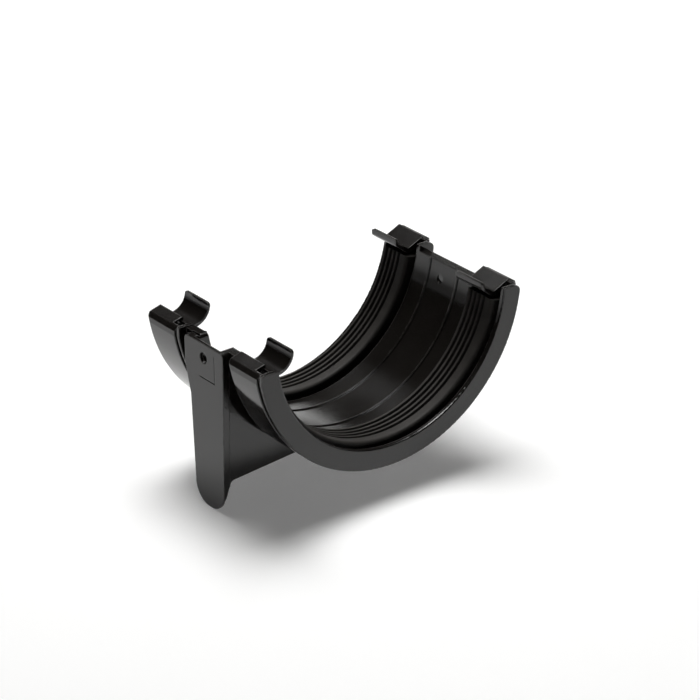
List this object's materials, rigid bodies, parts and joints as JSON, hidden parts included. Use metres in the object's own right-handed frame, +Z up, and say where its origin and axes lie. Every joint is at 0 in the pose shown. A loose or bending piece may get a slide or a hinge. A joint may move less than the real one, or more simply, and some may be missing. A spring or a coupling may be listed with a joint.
{
  "type": "gutter union",
  "caption": "Half-round gutter union with ribbed rubber seals in its end collars, snap clips along both rims, and a fascia plate with a leg and a screw hole.",
  "frame": {"origin": "centre of the screw hole on the plate's rear face, the face that bears on the fascia", "axes": "+X along the gutter, +Y out from the fascia towards the gutter's front edge, +Z up"},
  "size_m": [0.078, 0.1321, 0.0795],
  "materials": {
    "moulding": "black moulded PVC-U with a soft sheen",
    "seal": "black EPDM rubber, matt"
  },
  "bodies": {
    "root": {"union_body": "moulding", "seal_left": "seal", "seal_right": "seal"}
  },
  "joints": []
}
